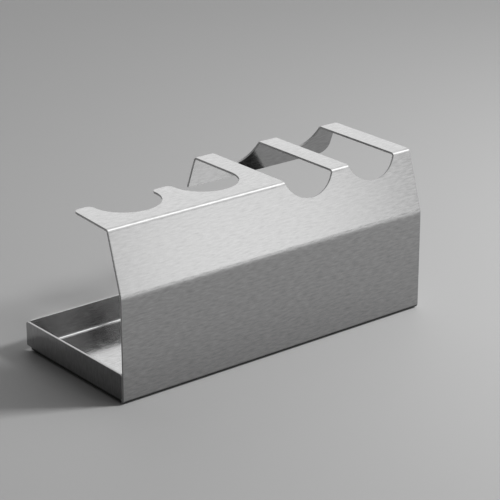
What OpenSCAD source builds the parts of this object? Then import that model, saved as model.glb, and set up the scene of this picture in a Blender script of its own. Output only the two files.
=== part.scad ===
// Hot dog holder, cut from one flat sheet of brushed stainless steel and folded.
// X runs along the length, the front wall faces -Y and Z is up.
// The origin lies under the middle of the holder, on the surface it stands on.
// A fold's place is given by its sharp corner, where the outer faces would meet.

/* [Overall] */
// Length from the left end to the right end
length = 250; // [235:1:330]
// Depth from the front wall to the back lip
depth = 110.5; // [106:0.5:150]
// Height of the flat top above the table
height = 113; // [100:1:150]
// Thickness of the sheet
sheet = 1.5; // [0.8:0.1:2]

/* [Tray] */
// Height of the lips round the tray
lip_height = 20; // [14:1:35]
// Outside radius of the bends round the floor
floor_bend = 3; // [2.2:0.1:4]
// Width of the open seams where the lips meet at the corners
seam = 0.4; // [0.2:0.1:1]
// Length that the floor bends stop short of the back corners
corner_relief = 5; // [3.5:0.5:9]
// Radius of the lips' free upper corners
lip_corner = 2; // [1:0.5:4]

/* [Front] */
// Height of the knee, where the wall starts to lean back
knee_height = 71; // [50:1:85]
// How far the leaning face runs back from the front wall
front_lean = 13; // [8:0.5:22]
// Outside radius of the soft bend at the knee
knee_bend = 12; // [4:1:20]
// Radius of the front wall's lower right corner
foot_corner = 4; // [2:0.5:6]

/* [Top] */
// Outside radius of the folds along the top
top_bend = 3; // [2.5:0.5:7]
// Depth of the top from the front fold to the back fold
bridge_depth = 77; // [68:1:84]
// Length of the back flap, measured down its slope
flap_length = 25; // [21:0.5:32]
// Angle of the back flap from the vertical
flap_angle = 21; // [10:1:35]
// Radius of the flap's lower right corner
flap_corner = 8; // [3:1:10]

/* [Hot dog slots] */
// Width of each slot
slot_w = 40; // [32:1:42]
// Width of the straps beside the slots
strap_w = 15; // [10:1:18]
// How far a slot reaches down the front face and the flap
slot_drop = 14.5; // [12:0.5:17]
// Radius of the slots' round ends
slot_round = 22; // [21.5:0.5:25]

/* [Cup rests] */
// Diameter of the round notches
cup_d = 47; // [38:1:50]
// Distance from the front fold to the middle of a round notch
cup_back = 37; // [32:1:42]
// Width of the tab between the round notches
tab_w = 15; // [9:1:20]
// Length that the tabs reach past the middle of a round notch
tab_reach = 4.5; // [4.5:0.5:8]
// Radius of the tabs' corners
tab_corner = 4; // [1:0.5:4]
// How far the top's left edge draws in towards the back
end_taper = 3; // [0:0.5:5]

/* [Hidden] */
$fn = 96;

slot_count = 2;
cup_count = 2;
// Length that a cutter runs past the sheet it cuts
past = 1;
// Depth of the punches that round the slots' ends, enough to clear the folds
punch_depth = 10;

left = -length / 2;
right = length / 2;
front = -depth / 2;
back = depth / 2;

first_strap = right - (slot_count + 1) * strap_w - slot_count * slot_w;
cup_r = cup_d / 2;
cup_y = front + front_lean + cup_back;
tab_y = cup_y + tab_reach;

// The sheet runs up the front, over the top and down the flap. Its headings there
// are angles from straight up towards the back, and its sharp corners are [y, z]
LEANING = 1;
TOP = 2;
FLAP = 3;
headings = [0, atan(front_lean / (height - knee_height)), 90, 180 - flap_angle];
front_fold = [front + front_lean, height];
back_fold = front_fold + [bridge_depth, 0];
flap_edge = back_fold + way(headings[FLAP]) * flap_length;
corners = [[front, floor_bend], [front, knee_height], front_fold, back_fold];
radii = [0, knee_bend, top_bend, top_bend];
step = 6;

function way(heading) = [sin(heading), cos(heading)];
function outward(heading) = [-cos(heading), sin(heading)];
function turn(i) = headings[i] - headings[i - 1];
function tangent(i) = radii[i] * tan(turn(i) / 2);
function bend_centre(i) = corners[i] - way(headings[i - 1]) * tangent(i)
                        - outward(headings[i - 1]) * radii[i];

// Points of the bend at corner i, the given depth below the outer skin
function bend(i, depth) = let (n = ceil(turn(i) / step))
    [for (k = [0 : n]) bend_centre(i) + outward(headings[i - 1] + turn(i) * k / n) * (radii[i] - depth)];
function skin(depth) = concat([corners[0] - outward(0) * depth],
    bend(LEANING, depth), bend(TOP, depth), bend(FLAP, depth),
    [flap_edge - outward(headings[FLAP]) * depth]);
function reverse(list) = [for (k = [len(list) - 1 : -1 : 0]) list[k]];

// Pushes an outline drawn as [y, z] along X
module along_x(from, to) {
    translate([from, 0, 0]) rotate([90, 0, 90]) linear_extrude(to - from) children();
}

// Lays what is drawn flat into a face's plane, with y along the face's heading and
// its sharp corner at the origin
module in_face(i, corner) {
    translate([0, corner[0], corner[1]]) rotate([90 - headings[i], 0, 0]) children();
}

// Front wall, leaning face, top and flap from end to end, before they are cut
module folded_sheet() {
    along_x(left, right) polygon(concat(skin(0), reverse(skin(sheet))));
}

// Rounds a square corner off; sx and sy say on which side of it the sheet lies
module round_off(x, y, r, sx, sy) {
    difference() {
        translate([x + sx * (r - past) / 2, y + sy * (r - past) / 2]) square(r + past, center = true);
        translate([x + sx * r, y + sy * r]) circle(r);
    }
}

// Slot across the top: discs punched square through the leaning face and the flap
// round its ends, and they are wider than the slot before they reach the folds
module slot_cut(x) {
    intersection() {
        translate([x - slot_w / 2, front, knee_height]) cube([slot_w, depth, height - knee_height + past]);
        union() {
            in_face(LEANING, front_fold) punch(x, slot_round - slot_drop);
            in_face(FLAP, back_fold) punch(x, slot_drop - slot_round);
            translate([x - slot_round, front_fold[0] + punch_depth - past, height - sheet - past])
                cube([2 * slot_round, bridge_depth - 2 * (punch_depth - past), sheet + 2 * past]);
        }
    }
}

module punch(x, y) {
    translate([x, y, -punch_depth]) linear_extrude(punch_depth + past) circle(slot_round);
}

// What is cut out of the top between its left end and the first strap
module cup_cuts() {
    for (k = [0 : cup_count - 1]) {
        x = first_strap - cup_r - k * (cup_d + tab_w);
        translate([x, cup_y]) circle(cup_r);
        translate([x - cup_r, cup_y]) square([cup_d, tab_reach + past]);
        round_off(x - cup_r, tab_y, tab_corner, -1, -1);
        if (k > 0) round_off(x + cup_r, tab_y, tab_corner, 1, -1);
    }
    // Behind the tabs
    translate([left - past, tab_y]) square([first_strap - left + past, back - tab_y + past]);
    // Left end, drawn in from behind the front fold
    flat_y = front + front_lean + top_bend;
    polygon([[left - past, flat_y], [left, flat_y], [left + end_taper, tab_y], [left - past, tab_y]]);
}

// Floor between its bends
module floor_plate() {
    translate([left + floor_bend, front + floor_bend, 0])
        cube([length - 2 * floor_bend, depth - 2 * floor_bend, sheet]);
}

// Lip at the left end with its bend; a seam parts it from the front wall
module end_lip() {
    bend_from = front + floor_bend + seam;
    bend_to = back - corner_relief;
    lip_from = front + sheet + seam;
    translate([left + floor_bend, bend_to, floor_bend]) rotate([90, 0, 0])
        linear_extrude(bend_to - bend_from) floor_bend_section();
    along_x(left, left + sheet) difference() {
        translate([lip_from, floor_bend]) square([back - lip_from, lip_height - floor_bend]);
        round_off(lip_from, lip_height, lip_corner, 1, -1);
        round_off(back, lip_height, lip_corner, -1, -1);
    }
}

// Quarter ring of a bend at the floor, on the left of its centre and below it
module floor_bend_section() {
    intersection() {
        difference() {
            circle(floor_bend);
            circle(floor_bend - sheet);
        }
        translate([-floor_bend, -floor_bend]) square(floor_bend);
    }
}

// Lip along the back with its bend; seams part it from the end lips
module back_lip() {
    half = right - sheet - seam;
    relief_half = right - corner_relief;
    along_x(-relief_half, relief_half) translate([back - floor_bend, floor_bend])
        mirror([1, 0]) floor_bend_section();
    translate([0, back, 0]) rotate([90, 0, 0]) linear_extrude(sheet) difference() {
        translate([-half, floor_bend]) square([2 * half, lip_height - floor_bend]);
        for (s = [-1, 1]) round_off(s * half, lip_height, lip_corner, -s, -1);
    }
}

module holder() {
    color("silver") union() {
        difference() {
            union() {
                folded_sheet();
                along_x(left, right) translate([front + floor_bend, floor_bend]) floor_bend_section();
            }
            translate([0, front + floor_bend, 0]) rotate([90, 0, 0])
                linear_extrude(floor_bend + past) round_off(right, 0, foot_corner, -1, 1);
            for (k = [0 : slot_count - 1]) slot_cut(right - strap_w - slot_w / 2 - k * (slot_w + strap_w));
            translate([0, 0, knee_height]) linear_extrude(height - knee_height + past) cup_cuts();
            in_face(FLAP, flap_edge) translate([0, 0, -sheet - past])
                linear_extrude(sheet + 2 * past) round_off(right, 0, flap_corner, -1, -1);
        }
        floor_plate();
        end_lip();
        mirror([1, 0, 0]) end_lip();
        back_lip();
    }
}

holder();
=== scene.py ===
# %% [markdown]
# # A hot dog holder folded from one steel sheet
#
# The real holder starts as a flat blank of brushed stainless steel. The slots, the
# round notches and the corners are cut while it is flat, and then it is folded up
# step by step. This lesson does the same: it punches a flat plate, takes the edge
# off every cut, scores the plate where it will bend, and folds it with turns of
# a few degrees, so that every cut wraps round its fold as it does on the real one.

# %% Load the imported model, which is the frame that the looks are built on
import math

import bmesh
import bpy
from mathutils import Matrix, Vector


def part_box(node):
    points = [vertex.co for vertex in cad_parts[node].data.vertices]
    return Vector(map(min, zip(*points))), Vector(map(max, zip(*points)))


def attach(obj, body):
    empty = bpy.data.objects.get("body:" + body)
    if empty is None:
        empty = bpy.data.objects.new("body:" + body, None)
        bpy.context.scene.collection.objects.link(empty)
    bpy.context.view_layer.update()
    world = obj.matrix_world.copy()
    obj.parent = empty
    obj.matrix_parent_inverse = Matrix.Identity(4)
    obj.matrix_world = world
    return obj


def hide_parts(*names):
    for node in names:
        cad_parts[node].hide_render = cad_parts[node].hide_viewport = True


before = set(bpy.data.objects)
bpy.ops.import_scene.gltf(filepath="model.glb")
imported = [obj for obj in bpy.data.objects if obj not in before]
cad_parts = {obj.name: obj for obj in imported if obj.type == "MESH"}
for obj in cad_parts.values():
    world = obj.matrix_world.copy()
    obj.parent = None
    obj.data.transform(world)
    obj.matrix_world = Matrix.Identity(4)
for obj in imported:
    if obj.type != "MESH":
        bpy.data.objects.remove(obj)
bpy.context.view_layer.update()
MM = 0.001
LENGTH, DEPTH, HEIGHT = (round((end - start) / MM, 2) for start, end in zip(*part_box("holder")))
print("the holder in mm:", LENGTH, "long,", DEPTH, "deep,", HEIGHT, "high")

# %% [markdown]
# ## Sizes
#
# The folded holder is described by its side view, as a sheet folder would be set up
# for it: how far each face runs from sharp corner to sharp corner, how much the sheet
# turns there and how large the outside radius of the bend is. A list of points would
# give the same outline, but only runs, turns and radii can be laid out flat again.
# All sizes are in millimetres, and the holder stands on z = 0 with the middle of its
# footprint at the origin.

# %% Sizes of the folded holder
THICK = 1.5  # the sheet
RIGHT = LENGTH / 2
BACK = DEPTH / 2
LIP_Z = 20.0  # top of the tray's lips
FOOT_R = 3.0  # bends round the floor
KNEE_Z = 71.0  # where the front starts to lean back
KNEE_R = 16.0
LEAN = 13.0  # how far the leaning face runs back
FOLD_R = 3.0  # both folds along the top
TOP_RUN = 77.0
FLAP_RUN = 25.0
FLAP_LEAN = math.radians(21)
LEAN_ANGLE = math.atan2(LEAN, HEIGHT - KNEE_Z)
LEAN_RUN = math.hypot(LEAN, HEIGHT - KNEE_Z)
QUARTER = math.pi / 2
FRONT_TURN = QUARTER - LEAN_ANGLE
BACK_TURN = QUARTER - FLAP_LEAN
print("the front leans back by %.1f degrees" % math.degrees(LEAN_ANGLE))

# %% [markdown]
# ## The flat blank
#
# A bend uses up a length of sheet equal to its arc, so the blank is laid out by
# adding flats and arcs one after the other. Here lengths are measured on the outer
# skin. On the blank, u is the same as X, and v runs from the flap's edge, over the
# top and down the front, along the floor and up the back lip.

# %% How much sheet a bend takes
SEGMENTS = 12  # small steps in each bend


def tangent(radius, turn):
    """From a bend's sharp corner to where its arc starts."""
    return radius * math.tan(turn / 2)


def bend_run(radius, turn):
    """Length of sheet that a bend folded in SEGMENTS small steps uses up."""
    return SEGMENTS * 2 * radius * math.sin(turn / 2 / SEGMENTS)


knee_t = tangent(KNEE_R, LEAN_ANGLE)
front_t = tangent(FOLD_R, FRONT_TURN)
back_t = tangent(FOLD_R, BACK_TURN)
corner_run = bend_run(FOOT_R, QUARTER)
print("a square corner takes %.2f mm of sheet" % corner_run)

# %% Lay out the blank, from the floor outwards
foot_v = -BACK + FOOT_R
wall_v = foot_v - corner_run
knee_v = wall_v - (KNEE_Z - FOOT_R - knee_t)
lean_v = knee_v - bend_run(KNEE_R, LEAN_ANGLE)
front_v = lean_v - (LEAN_RUN - knee_t - front_t)
top_v = front_v - bend_run(FOLD_R, FRONT_TURN)
back_v = top_v - (TOP_RUN - front_t - back_t)
flap_v = back_v - bend_run(FOLD_R, BACK_TURN)
edge_v = flap_v - (FLAP_RUN - back_t)
lip_v = BACK - FOOT_R
lip_wall_v = lip_v + corner_run
lip_edge_v = lip_wall_v + LIP_Z - FOOT_R
side_u = RIGHT - FOOT_R
side_wall_u = side_u + corner_run
side_edge_u = side_wall_u + LIP_Z - FOOT_R
print("blank in mm: %.1f by %.1f" % (2 * side_edge_u, lip_edge_v - edge_v))

# %% [markdown]
# ## The plate
#
# The blank starts as one plain plate of the sheet's thickness. A plane with a
# Solidify modifier would do as well, but a plate that is solid from the start can be
# punched like the real one. It lies with its outer skin down, so that every fold
# turns up and away from the table, with its hinge line on z = 0.

# %% Helpers for objects
def make_active(obj):
    """Selects this object alone."""
    bpy.ops.object.select_all(action="DESELECT")
    obj.select_set(True)
    bpy.context.view_layer.objects.active = obj


def apply_modifier(obj, kind, name, **settings):
    """Adds a modifier with these settings and applies it."""
    make_active(obj)
    modifier = obj.modifiers.new(name, kind)
    for key, value in settings.items():
        setattr(modifier, key, value)
    bpy.ops.object.modifier_apply(modifier=name)


def settle():
    """Moves the new object's place and scale into its mesh, and returns the object."""
    obj = bpy.context.active_object
    make_active(obj)
    bpy.ops.object.transform_apply(location=True, rotation=True, scale=True)
    return obj


def add_block(name, u_span, v_span, z_span):
    """A block between these limits, each a pair in millimetres."""
    spans = (u_span, v_span, z_span)
    bpy.ops.mesh.primitive_cube_add(size=1, location=[(a + b) / 2 * MM for a, b in spans])
    bpy.context.active_object.name = name
    bpy.context.active_object.scale = [(b - a) * MM for a, b in spans]
    return settle()


# %% Start from a plain plate
plate = add_block("holder_sheet", (-side_edge_u, side_edge_u), (edge_v, lip_edge_v), (0, THICK))
print("plate:", len(plate.data.vertices), "corners")

# %% [markdown]
# ## Punching the blank
#
# A press takes each opening out of the sheet in one stroke. Each punch here is
# a block or a disc that passes right through the plate, and a Boolean modifier takes
# it out. Drawing the whole outline as points would work too, but punches keep each
# opening's own sizes, and they are easy to change one by one.

# %% Punch helpers
REACH = 4.0  # how far a punch sticks out on both sides of the sheet
THROUGH = (-REACH, THICK + REACH)
PAST = 1.0  # how far a punch runs past the edge that it opens
CLEAR = 10.0  # the same where there is nothing near


def punch(tool):
    """Takes the tool's shape out of the plate and throws the tool away."""
    apply_modifier(plate, "BOOLEAN", "punch", operation="DIFFERENCE", object=tool, solver="EXACT")
    bpy.data.objects.remove(tool)


def punch_block(u_span, v_span):
    """Punches a rectangle."""
    punch(add_block("punch", sorted(u_span), v_span, THROUGH))


def disc_tool(u, v, radius):
    """Makes a round punch that is ready to use."""
    bpy.ops.mesh.primitive_cylinder_add(
        vertices=144, radius=radius * MM, depth=(THICK + 2 * REACH) * MM,
        location=(u * MM, v * MM, THICK / 2 * MM))
    return settle()


# %% [markdown]
# ## The corners of the tray
#
# A box corner can't be folded from a full sheet: where two lips meet, the waste
# between them is cut away first. The lips then meet in open seams, and the floor's
# bends stop a little short of the back corners, so that the sheet doesn't tear there.

# %% Clear the waste beside the front and at the tray's corners
SEAM = 0.4
RELIEF = 5.0
back_lip_half = RIGHT - THICK - SEAM
for side in (-1, 1):
    far = side * (side_edge_u + CLEAR)
    punch_block((side * RIGHT, far), (edge_v - CLEAR, -BACK + THICK + SEAM))
    punch_block((side * side_u, side * side_wall_u), (foot_v, foot_v + SEAM))
    punch_block((side * RIGHT, side * side_wall_u), (-BACK, foot_v + SEAM))
    punch_block((side * back_lip_half, far), (BACK, lip_edge_v + CLEAR))
    punch_block((side * side_u, side * side_wall_u), (BACK - RELIEF, lip_wall_v))
    punch_block((side * (RIGHT - RELIEF), side * side_wall_u), (lip_v, lip_wall_v))
print("corners cleared:", len(plate.data.vertices), "corners")

# %% [markdown]
# ## The hot dog slots
#
# A slot runs across the top and over both folds, so that a hot dog can stand in it
# or lie across it. Its round ends belong to discs that are a little wider than the
# slot, so each arc meets the straight sides at a blunt corner just below the fold. One
# tool is joined from a block and two discs, and trimmed to the slot's width.

# %% Punch the slots
SLOT_W = 40.0
STRAP_W = 15.0
SLOT_DROP = 14.5  # how far a slot reaches below each sharp fold
SLOT_ROUND = 22.0
slot_us = [RIGHT - STRAP_W - SLOT_W / 2 - k * (SLOT_W + STRAP_W) for k in (1, 0)]
front_disc_v = front_v + SLOT_DROP - front_t - SLOT_ROUND
back_disc_v = flap_v - (SLOT_DROP - back_t) + SLOT_ROUND
for u in slot_us:
    slot = (u - SLOT_W / 2, u + SLOT_W / 2)
    tool = add_block("slot_tool", (slot[0] - PAST, slot[1] + PAST), (back_disc_v, front_disc_v), THROUGH)
    for v in (front_disc_v, back_disc_v):
        disc = disc_tool(u, v, SLOT_ROUND)
        apply_modifier(tool, "BOOLEAN", "join", operation="UNION", object=disc, solver="EXACT")
        bpy.data.objects.remove(disc)
    long_strip = (back_disc_v - SLOT_ROUND - CLEAR, front_disc_v + SLOT_ROUND + CLEAR)
    strip = add_block("strip", slot, long_strip, (-CLEAR, CLEAR))
    apply_modifier(tool, "BOOLEAN", "trim", operation="INTERSECT", object=strip, solver="EXACT")
    bpy.data.objects.remove(strip)
    punch(tool)
print("slots at", slot_us)

# %% [markdown]
# ## The round notches
#
# At the left end the top has two round notches that are open to the back, with
# a tab between them and one at the end. There is no flap behind them. Each notch is
# a disc with a rectangle that opens it, and one more rectangle clears all that is
# behind the tabs. The left end draws in a little towards the back, so a slanting
# wedge takes a sliver off it.

# %% Punch the notches
CUP_R = 23.5
CUP_Y = 37.0  # middle of a notch, behind the front fold's sharp corner
TAB_Y = 41.5  # ends of the tabs, measured the same way
TAB_W = 15.0


def on_top(y):
    """Where a point of the top, y behind the front fold's sharp corner, lies on the blank."""
    return top_v - (y - front_t)


strap_edge_u = slot_us[0] - SLOT_W / 2 - STRAP_W
cup_us = [strap_edge_u - CUP_R - k * (2 * CUP_R + TAB_W) for k in (1, 0)]
for u in cup_us:
    punch_block((u - CUP_R, u + CUP_R), (on_top(TAB_Y) - PAST, on_top(CUP_Y)))
    punch(disc_tool(u, on_top(CUP_Y), CUP_R))
punch_block((-RIGHT - PAST, strap_edge_u), (edge_v - PAST, on_top(TAB_Y)))
print("notches at", cup_us)

# %% Draw the left end in
END_TAPER = 3.0
taper_run = on_top(front_t) - on_top(TAB_Y)
wedge = add_block("wedge", (-CLEAR, 0), (-taper_run - CLEAR, CLEAR), THROUGH)
wedge.rotation_euler.z = math.atan2(END_TAPER, taper_run)
wedge.location = (-RIGHT * MM, on_top(front_t) * MM, 0)
punch(wedge)
print("blank punched:", len(plate.data.vertices), "corners")

# %% [markdown]
# ## Clean outline, round corners
#
# Booleans leave doubled points and extra lines on the flats, and a bevel would stop
# at them, so the mesh is cleaned first. Then the sharp corners that a hand could
# catch are rounded, as a workshop does on every serving piece. The bevel is put on
# the short edges that run through the sheet's thickness, found by their place.

# %% Helpers for edit mode
def enter_edit(obj, mode="VERT"):
    """Opens an object in edit mode with nothing selected."""
    make_active(obj)
    bpy.ops.object.mode_set(mode="EDIT")
    bpy.ops.mesh.select_mode(type=mode)
    bpy.ops.mesh.select_all(action="DESELECT")
    return bmesh.from_edit_mesh(obj.data)


def leave_edit():
    """Goes back to object mode."""
    bpy.ops.object.mode_set(mode="OBJECT")


def pick_upright_edges(mesh, places, near=0.05):
    """Selects the edges through the sheet's thickness at these (u, v) places, and counts them."""
    found = 0
    for edge in mesh.edges:
        a, b = (vert.co / MM for vert in edge.verts)
        here = any(abs(a.x - u) < near and abs(a.y - v) < near for u, v in places)
        edge.select_set(here and abs(a.z - b.z) > THICK / 2)
        found += edge.select
    mesh.select_flush_mode()
    return found


# %% Clean up after the punches
enter_edit(plate)
bpy.ops.mesh.select_all(action="SELECT")
bpy.ops.mesh.remove_doubles(threshold=0.01 * MM)
bpy.ops.mesh.dissolve_limited(angle_limit=math.radians(0.5))
leave_edit()
print("cleaned:", len(plate.data.vertices), "corners,", len(plate.data.polygons), "faces")

# %% Round the sharp corners
tab_corners = (END_TAPER - RIGHT, cup_us[0] - CUP_R, cup_us[0] + CUP_R, cup_us[1] - CUP_R)
rounds = {
    "flap": (8.0, [(RIGHT, edge_v)]),
    "front wall": (4.0, [(RIGHT, foot_v)]),
    "tabs": (4.0, [(u, on_top(TAB_Y)) for u in tab_corners]),
    "end lips": (2.0, [(side * side_edge_u, v) for side in (-1, 1) for v in (-BACK + THICK + SEAM, BACK)]),
    "back lip": (2.0, [(side * back_lip_half, lip_edge_v) for side in (-1, 1)]),
}
for part, (radius, places) in rounds.items():
    found = pick_upright_edges(enter_edit(plate, "EDGE"), places)
    bpy.ops.mesh.bevel(offset=radius * MM, segments=8, affect="EDGES")
    leave_edit()
    print(part, "rounded by", radius, "on", found, "of", len(places), "corners")

# %% [markdown]
# ## Deburred edges
#
# A cut edge is never knife sharp: deburring leaves a small round that catches the
# light as a thin bright line. A Bevel modifier limited by angle finds every cut at
# once, because the plate is still flat and only its cuts are sharp.

# %% Take the edge off every cut
apply_modifier(plate, "BEVEL", "deburr", width=0.16 * MM, segments=2, limit_method="ANGLE",
               angle_limit=math.radians(40), use_clamp_overlap=False)
print("deburred:", len(plate.data.polygons), "faces")

# %% [markdown]
# ## Skin, cut faces and the flat map
#
# The sheet's cut faces are duller than its brushed skin, so they get a material of
# their own while they are still easy to find: all of them stand upright. The
# brushing runs along X on the blank. A map taken straight from the blank, as if the
# sheet lay on squared paper, carries it through every fold, which a pattern in space
# couldn't do.

# %% Sort the faces into skin and cut edge
steel = bpy.data.materials.new("brushed_steel")
edge_steel = bpy.data.materials.new("cut_edge")
plate.data.materials.append(steel)
plate.data.materials.append(edge_steel)
for face in plate.data.polygons:
    face.material_index = 1 if abs(face.normal.z) < 0.5 else 0
print("cut faces:", sum(face.material_index for face in plate.data.polygons))

# %% Map the blank
MAPS_PER_METRE = 10
flat_map = plate.data.uv_layers.new(name="blank")
for loop in plate.data.loops:
    point = plate.data.vertices[loop.vertex_index].co * MAPS_PER_METRE
    flat_map.data[loop.index].uv = point.xy
print("one map unit is", 1000 / MAPS_PER_METRE, "mm of sheet")

# %% [markdown]
# ## Scoring
#
# Each bend is a row of parallel lines that the sheet turns at by a few degrees. One
# more line lies on the flat just outside each bend, so that smooth shading stays
# inside the bend. The sheet is split along all of them with Bisect, which keeps
# every edge of the openings where it is.

# %% The bends: which way to cut, where it starts, its direction, radius and turn
bends = [
    ("v", back_v, -1, FOLD_R, BACK_TURN),
    ("v", front_v, -1, FOLD_R, FRONT_TURN),
    ("v", knee_v, -1, KNEE_R, LEAN_ANGLE),
    ("v", foot_v, -1, FOOT_R, QUARTER),
    ("v", lip_v, 1, FOOT_R, QUARTER),
    ("u", side_u, 1, FOOT_R, QUARTER),
    ("u", -side_u, -1, FOOT_R, QUARTER),
]


def crease_lines(start, direction, radius, turn):
    """Places and turns of a bend's lines, from the floor side outwards."""
    chord = bend_run(radius, turn) / SEGMENTS
    return [(start + direction * chord * k, turn / SEGMENTS * (0.5 if k in (0, SEGMENTS) else 1))
            for k in range(SEGMENTS + 1)]


def point_on(axis, place):
    """The point of the u or v axis at this place, in metres."""
    return (place * MM, 0, 0) if axis == "u" else (0, place * MM, 0)


# %% Split the sheet along every line
HOLD = 0.5  # from a bend to the line beside it
enter_edit(plate)
for axis, start, direction, radius, turn in bends:
    lines = [place for place, _ in crease_lines(start, direction, radius, turn)]
    lines += [lines[0] - direction * HOLD, lines[-1] + direction * HOLD]
    for place in lines:
        bpy.ops.mesh.select_all(action="SELECT")
        bpy.ops.mesh.bisect(plane_co=point_on(axis, place), plane_no=point_on(axis, 1 / MM), use_fill=False)
leave_edit()
print("scored:", len(plate.data.vertices), "corners")

# %% [markdown]
# ## Folding
#
# The folder works from the outside in: first the flap, then the top, the knee and
# the foot of the front wall, and last the lips. Each line of a bend is a hinge on
# the outer skin, and all that lies beyond it turns. The points on the line itself
# make only half of the turn, which keeps the sheet's thickness even round the bend.
# An armature or a bend modifier would stretch the sheet; hinges don't.

# %% What each bend carries along
NEAR = 0.1
flat = [(vert.co.x / MM, vert.co.y / MM) for vert in plate.data.vertices]
print("places noted of", len(flat), "points")


def carried_by(axis, direction):
    """Test for the front strip, the back lip or an end lip, by a point's place on the blank."""
    if axis == "v" and direction < 0:
        return lambda u, v: abs(u) < RIGHT + NEAR
    if axis == "v":
        return lambda u, v: abs(u) < RIGHT - RELIEF + NEAR or v > BACK + NEAR
    return lambda u, v: foot_v + SEAM / 2 < v < BACK + NEAR or abs(u) > RIGHT + NEAR


# %% Helper that turns the sheet at one line
ON_LINE = 0.002


def turn_beyond(mesh, axis, place, direction, angle, carried):
    """Turns what is carried beyond a line, and the points on the line by half as much."""
    sign = -direction if axis == "v" else direction
    for slack in (-ON_LINE, ON_LINE):
        for vert in mesh.verts:
            u, v = flat[vert.index]
            beyond = ((u if axis == "u" else v) - place) * direction
            vert.select_set(beyond > slack and carried(u, v))
        mesh.select_flush_mode()
        bpy.ops.transform.rotate(value=sign * angle / 2, orient_axis="X" if axis == "v" else "Y",
                                 orient_type="GLOBAL", center_override=point_on(axis, place))


# %% Fold, always from the outermost line of a bend towards the floor
mesh = enter_edit(plate)
for axis, start, direction, radius, turn in bends:
    for place, angle in reversed(crease_lines(start, direction, radius, turn)):
        turn_beyond(mesh, axis, place, direction, angle, carried_by(axis, direction))
leave_edit()
points = [vert.co / MM for vert in plate.data.vertices]
print("folded box:", [round(end(point[k] for point in points), 3) for end in (min, max) for k in range(3)])

# %% [markdown]
# ## Smooth bends, flat flats
#
# The steps of a bend should shade as one round, while the flats stay flat and the
# deburred edges crisp. Smoothing by angle does the first. Normals weighted by face
# area do the second, because the large flats then win over the narrow bends.

# %% Smooth the bends and keep the flats flat
make_active(plate)
bpy.ops.object.shade_smooth_by_angle(angle=math.radians(50))
apply_modifier(plate, "WEIGHTED_NORMAL", "flats stay flat", mode="FACE_AREA", weight=100, keep_sharp=True)
print("the folded sheet has", len(plate.data.polygons), "faces")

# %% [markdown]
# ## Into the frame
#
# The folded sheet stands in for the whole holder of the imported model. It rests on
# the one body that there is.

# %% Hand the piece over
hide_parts("holder")
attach(plate, "root")
print(plate.name, "replaces holder")

# %% [markdown]
# ## Brushed streaks
#
# Brushing leaves fine parallel scratches. A painted picture of them would repeat and
# blur, so they are made from noise that is stretched along the brushing: one fine,
# one broad. Both the skin and the cut faces use them, so they are a node group that
# gives a colour, a roughness and a height. Where the steel is rougher it is also
# lighter, as scratches scatter more light back.

# %% Helpers that add shader nodes
def add_node(tree, kind, inputs, **options):
    """Adds a node with these options. Each input takes a number, a colour or a socket."""
    node = tree.nodes.new("ShaderNode" + kind)
    for name, value in options.items():
        setattr(node, name, value)
    for name, value in inputs.items():
        if isinstance(value, bpy.types.NodeSocket):
            tree.links.new(value, node.inputs[name])
        else:
            node.inputs[name].default_value = value
    return node


def mixed(tree, kind, factor, a, b):
    """Blends from a to b, which are numbers (FLOAT) or colours (RGBA)."""
    return add_node(tree, "Mix", {"Factor": factor, "A": a, "B": b}, data_type=kind).outputs["Result"]


def grey(value):
    """A neutral colour of this brightness."""
    return (value, value, value, 1)


# %% The streaks' group and its sockets
streaks = bpy.data.node_groups.new("brush_streaks", "ShaderNodeTree")
for name, kind in (("Light", "Color"), ("Dark", "Color"), ("Smooth", "Float"), ("Rough", "Float")):
    streaks.interface.new_socket(name, in_out="INPUT", socket_type="NodeSocket" + kind)
for name, kind in (("Color", "Color"), ("Roughness", "Float"), ("Height", "Float")):
    streaks.interface.new_socket(name, in_out="OUTPUT", socket_type="NodeSocket" + kind)
given = streaks.nodes.new("NodeGroupInput").outputs
wanted = streaks.nodes.new("NodeGroupOutput").inputs
on_blank = add_node(streaks, "UVMap", {}, uv_map="blank").outputs["UV"]
print("the streaks take and give", len(streaks.interface.items_tree), "values")


# %% The scratches themselves
def scratches(along, across, detail):
    """Noise stretched along u, from 0 to 1. Along and across are repeats per map unit."""
    drawn = add_node(streaks, "Mapping", {"Vector": on_blank, "Scale": (along, across, 1)})
    noise = add_node(streaks, "TexNoise", {"Vector": drawn.outputs["Vector"], "Scale": 1, "Detail": detail},
                     noise_dimensions="2D")
    spread = {"Value": noise.outputs["Fac"], "From Min": 0.25, "From Max": 0.75}
    return add_node(streaks, "MapRange", spread).outputs["Result"]


fine = scratches(14, 420, 2)
broad = scratches(16, 80, 5)
brushing = mixed(streaks, "FLOAT", 0.55, fine, broad)
streaks.links.new(mixed(streaks, "RGBA", brushing, given["Light"], given["Dark"]), wanted["Color"])
streaks.links.new(mixed(streaks, "FLOAT", brushing, given["Rough"], given["Smooth"]), wanted["Roughness"])
streaks.links.new(fine, wanted["Height"])
print("streaks:", len(streaks.nodes), "nodes")

# %% [markdown]
# ## The steel
#
# Across the scratches brushed steel mirrors softly, along them much more sharply,
# which is what the anisotropic setting of the shader is for. Its direction comes
# from the map of the blank, turned by a quarter. A very shallow bump keeps the
# streaks from looking printed. Stainless steel has next to no colour of its own.

# %% A metal fed by the streaks
def brushed(material, light, dark, smooth, rough):
    """Gives a material a metal shader, and returns its tree, the shader and the streaks."""
    material.use_nodes = True
    tree = material.node_tree
    shader = tree.nodes["Principled BSDF"]
    shader.inputs["Metallic"].default_value = 1
    values = {"Light": grey(light), "Dark": grey(dark), "Smooth": smooth, "Rough": rough}
    group = add_node(tree, "Group", values, node_tree=streaks)
    tree.links.new(group.outputs["Color"], shader.inputs["Base Color"])
    tree.links.new(group.outputs["Roughness"], shader.inputs["Roughness"])
    return tree, shader, group


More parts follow.
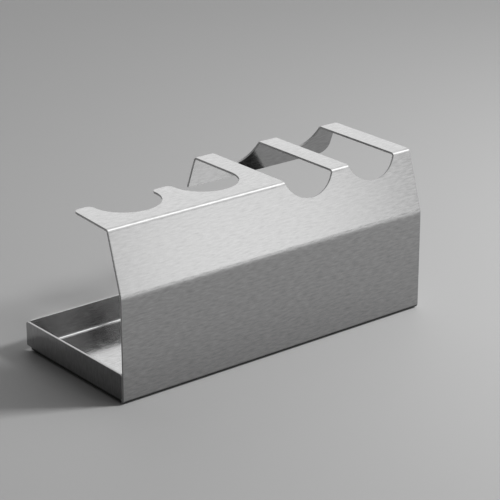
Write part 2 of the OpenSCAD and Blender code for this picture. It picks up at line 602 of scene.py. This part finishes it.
# %% The brushed skin
tree, shader, group = brushed(steel, light=0.53, dark=0.325, smooth=0.05, rough=0.18)
shader.inputs["Anisotropic"].default_value = 0.85
shader.inputs["Anisotropic Rotation"].default_value = 0.25
along_brushing = add_node(tree, "Tangent", {}, direction_type="UV_MAP", uv_map="blank")
shallow = add_node(tree, "Bump", {"Height": group.outputs["Height"], "Strength": 0.004, "Distance": 0.0001})
tree.links.new(along_brushing.outputs["Tangent"], shader.inputs["Tangent"])
tree.links.new(shallow.outputs["Normal"], shader.inputs["Normal"])
print("skin:", len(tree.nodes), "nodes")

# %% The cut faces, duller than the skin
tree, shader, group = brushed(edge_steel, light=0.55, dark=0.38, smooth=0.42, rough=0.6)
print("cut faces:", len(tree.nodes), "nodes")

# %% [markdown]
# ## The table
#
# The holder stands on a plain pale table. Brushed steel shows its surroundings more
# than itself, so what it mirrors of the table matters as much as the table. The table
# carries painted shade and painted light that only the steel sees: a painted contact
# shadow, dark under the holder and in a thin line round it, the rest of the table
# painted a little darker, a painted light patch in front on the left, and a painted
# glow that makes the far end paler. Painted for every ray, they would show to the
# camera too. Light Path tells a mirrored ray from a straight one, so they are there
# for the steel alone.

# %% Helpers for sums and soft steps
def calculate(tree, operation, a, b=0.0):
    """A sum, such as ADD or MULTIPLY, of numbers or sockets."""
    return add_node(tree, "Math", {0: a, 1: b}, operation=operation).outputs["Value"]


def fade(tree, value, start, end, first, last):
    """Goes softly from first to last while the value goes from start to end."""
    inputs = {"Value": value, "From Min": start, "From Max": end, "To Min": first, "To Max": last}
    return add_node(tree, "MapRange", inputs, interpolation_type="SMOOTHSTEP").outputs["Result"]


# %% A plain pale table
bpy.ops.mesh.primitive_plane_add(size=6)
table = bpy.context.active_object
table.name = "table"
pale = bpy.data.materials.new("pale_table")
pale.use_nodes = True
table.data.materials.append(pale)
tree = pale.node_tree
shader = tree.nodes["Principled BSDF"]
shader.inputs["Roughness"].default_value = 0.6
shader.inputs["Specular IOR Level"].default_value = 0.2
# The table's emission carries painted light that only the steel mirrors.
shader.inputs["Emission Strength"].default_value = 1.0
print("table:", tuple(table.dimensions))

# %% Where a point of the table lies, in metres
spot = add_node(tree, "TexCoord", {}).outputs["Object"]
x, y, _ = add_node(tree, "SeparateXYZ", {"Vector": spot}).outputs
beside = calculate(tree, "SUBTRACT", calculate(tree, "ABSOLUTE", x), RIGHT * MM)
before = calculate(tree, "SUBTRACT", calculate(tree, "ABSOLUTE", y), BACK * MM)
away = calculate(tree, "MAXIMUM", beside, before)
mirrored = add_node(tree, "LightPath", {}).outputs["Is Glossy Ray"]
print("measured from a footprint of", LENGTH, "by", DEPTH, "mm")

# %% The table's grey, and the painted shade and painted light that only the steel mirrors
TABLE_GREY = 0.46
# Grey and width of the painted contact shadow.
PAINTED_SHADOW_GREY = 0.07
CONTACT_SHADOW_WIDTH = 0.004
# Painted shade, seen only in mirrored rays: the table goes dark grey under the holder and in a painted
# contact shadow 4 mm wide round it, and a little darker everywhere else.
painted_shade_in_mirrors = calculate(tree, "MULTIPLY", mirrored, fade(tree, away, 0, CONTACT_SHADOW_WIDTH, 1, 0.2))
tree.links.new(mixed(tree, "RGBA", painted_shade_in_mirrors, grey(TABLE_GREY), grey(PAINTED_SHADOW_GREY)), shader.inputs["Base Color"])
# Painted light, seen only in mirrored rays: the table glows faintly in a patch in front on the left, and more
# strongly the farther it lies from the holder.
painted_light_in_front = calculate(tree, "MULTIPLY", fade(tree, y, -0.13, -0.05, 1, 0), fade(tree, x, -0.12, 0.3, 0.08, 0))
painted_light_far_off = fade(tree, away, 0.15, 1.2, 0, 0.79)
painted_light_in_mirrors = calculate(tree, "MULTIPLY", mirrored, calculate(tree, "ADD", painted_light_far_off, painted_light_in_front))
tree.links.new(painted_light_in_mirrors, shader.inputs["Emission Color"])
print("table:", len(tree.nodes), "nodes")

# %% [markdown]
# ## The lamp
#
# One softbox from the right and the front gives the soft shadow on the left. Its own
# mirror image would burn a hard patch into the steel, so it is hidden from mirrored
# rays. The studio round the holder, in the next step, lights the steel.

# %% A softbox
KEY_WAY = Vector((0.61, -0.44, 0.66)).normalized()
KEY_AWAY = 1.3
KEY_SIZE = 0.25
KEY_WATTS = 14
KEY_AIM = Vector((0, 0, 0.05))
key_place = KEY_WAY * KEY_AWAY
aimed = (KEY_AIM - key_place).to_track_quat("-Z", "Y").to_euler()
bpy.ops.object.light_add(type="AREA", location=key_place, rotation=aimed)
key = bpy.context.active_object
key.name = "key"
key.data.size = KEY_SIZE
key.data.energy = KEY_WATTS
key.visible_glossy = False
print("key light at", [round(c, 2) for c in key_place])

# %% [markdown]
# ## The camera
#
# The view is from the front left and from above, through a long lens, so that the
# long edges stay almost parallel. The camera comes before the studio, because what
# the steel mirrors depends on where it is seen from.

# %% Camera
AZIMUTH = math.radians(-128.7993)
ELEVATION = math.radians(21.2156)
AIM = Vector((11.687, -10.200, 56.828)) * MM
CAMERA_AWAY = 1320.38 * MM
flat_way = Vector((math.cos(AZIMUTH), math.sin(AZIMUTH), 0))
eye_back = flat_way * math.cos(ELEVATION) + Vector((0, 0, math.sin(ELEVATION)))
eye_right = Vector((0, 0, 1)).cross(flat_way)
turned = Matrix((eye_right, eye_back.cross(eye_right), eye_back)).transposed().to_4x4()
turned.translation = AIM + eye_back * CAMERA_AWAY
bpy.ops.object.camera_add()
camera = bpy.context.active_object
camera.name = "camera"
camera.matrix_world = turned
camera.data.lens = 142.25
camera.data.sensor_width = 36
camera.data.clip_start = 0.01
bpy.context.scene.camera = camera
bpy.context.scene.view_settings.view_transform = "Standard"
print("camera at", [round(c, 3) for c in turned.translation])

# %% [markdown]
# ## The studio round it
#
# A metal needs something to mirror. The studio is bright on the right and dark on
# the left, with a glow wherever one of the holder's faces sends the camera's view:
# a broad one for the top, a narrow one for the leaning face, and two for the front
# fold, which gives its bright line. The glows are placed by the tilt of the face
# that mirrors them. The camera itself sees a plain grey behind the table.

# %% Helpers for the studio
world = bpy.data.worlds.new("studio")
bpy.context.scene.world = world
world.use_nodes = True
tree = world.node_tree
looking = add_node(tree, "TexCoord", {}).outputs["Generated"]


def facing(direction):
    """How far a direction of view points along this one, from -1 to 1."""
    return add_node(tree, "VectorMath", {0: looking, 1: direction}, operation="DOT_PRODUCT").outputs["Value"]


def mirror_way(tilt):
    """Where the camera looks by way of a face that is tilted this far forward from level."""
    normal = Vector((0, -math.sin(tilt), math.cos(tilt)))
    return (-eye_back).reflect(normal)


def glow(tilt, wide, bright):
    """A soft round light, as seen in a face of this tilt. Angles are in degrees."""
    way = mirror_way(math.radians(tilt))
    return fade(tree, facing(way), math.cos(math.radians(wide)), 1, 0, bright)


# %% What the studio shows in each direction
STUDIO_DARK, STUDIO_BRIGHT = 0.02, 1.08
TURNS_BRIGHT = (-0.4, 0.55)  # from where to where along X
glows = {
    "top": glow(0, 70, 0.4),
    "leaning face": glow(90 - math.degrees(LEAN_ANGLE), 6, 0.8),
    "front fold, soft": glow(45, 42, 0.5),
    "front fold, bright": glow(42.6, 18, 1.45),
}
to_the_right = facing((1, 0, 0))
seen = fade(tree, to_the_right, *TURNS_BRIGHT, STUDIO_DARK, STUDIO_BRIGHT)
for part in glows.values():
    seen = calculate(tree, "ADD", seen, part)
print("glows for:", ", ".join(glows))

# %% How strongly it lights the table, and how strongly the steel mirrors it
LEFT_FILL = 0.28  # keeps faces turned to the left from going black
TABLE_SHARE = 0.45
MIRROR_SHARE = 0.43
BACKDROP = 0.5
path = add_node(tree, "LightPath", {}).outputs
left_fill = fade(tree, to_the_right, *TURNS_BRIGHT, LEFT_FILL, 0)
seen = calculate(tree, "ADD", seen, calculate(tree, "MULTIPLY", left_fill, path["Is Glossy Ray"]))
mirror_more = calculate(tree, "MULTIPLY", path["Is Glossy Ray"], MIRROR_SHARE)
lit = calculate(tree, "MULTIPLY", seen, calculate(tree, "ADD", mirror_more, TABLE_SHARE))
sky = tree.nodes["Background"]
tree.links.new(mixed(tree, "FLOAT", path["Is Camera Ray"], lit, BACKDROP), sky.inputs["Color"])
sky.inputs["Strength"].default_value = 1.0
print("studio:", len(tree.nodes), "nodes")
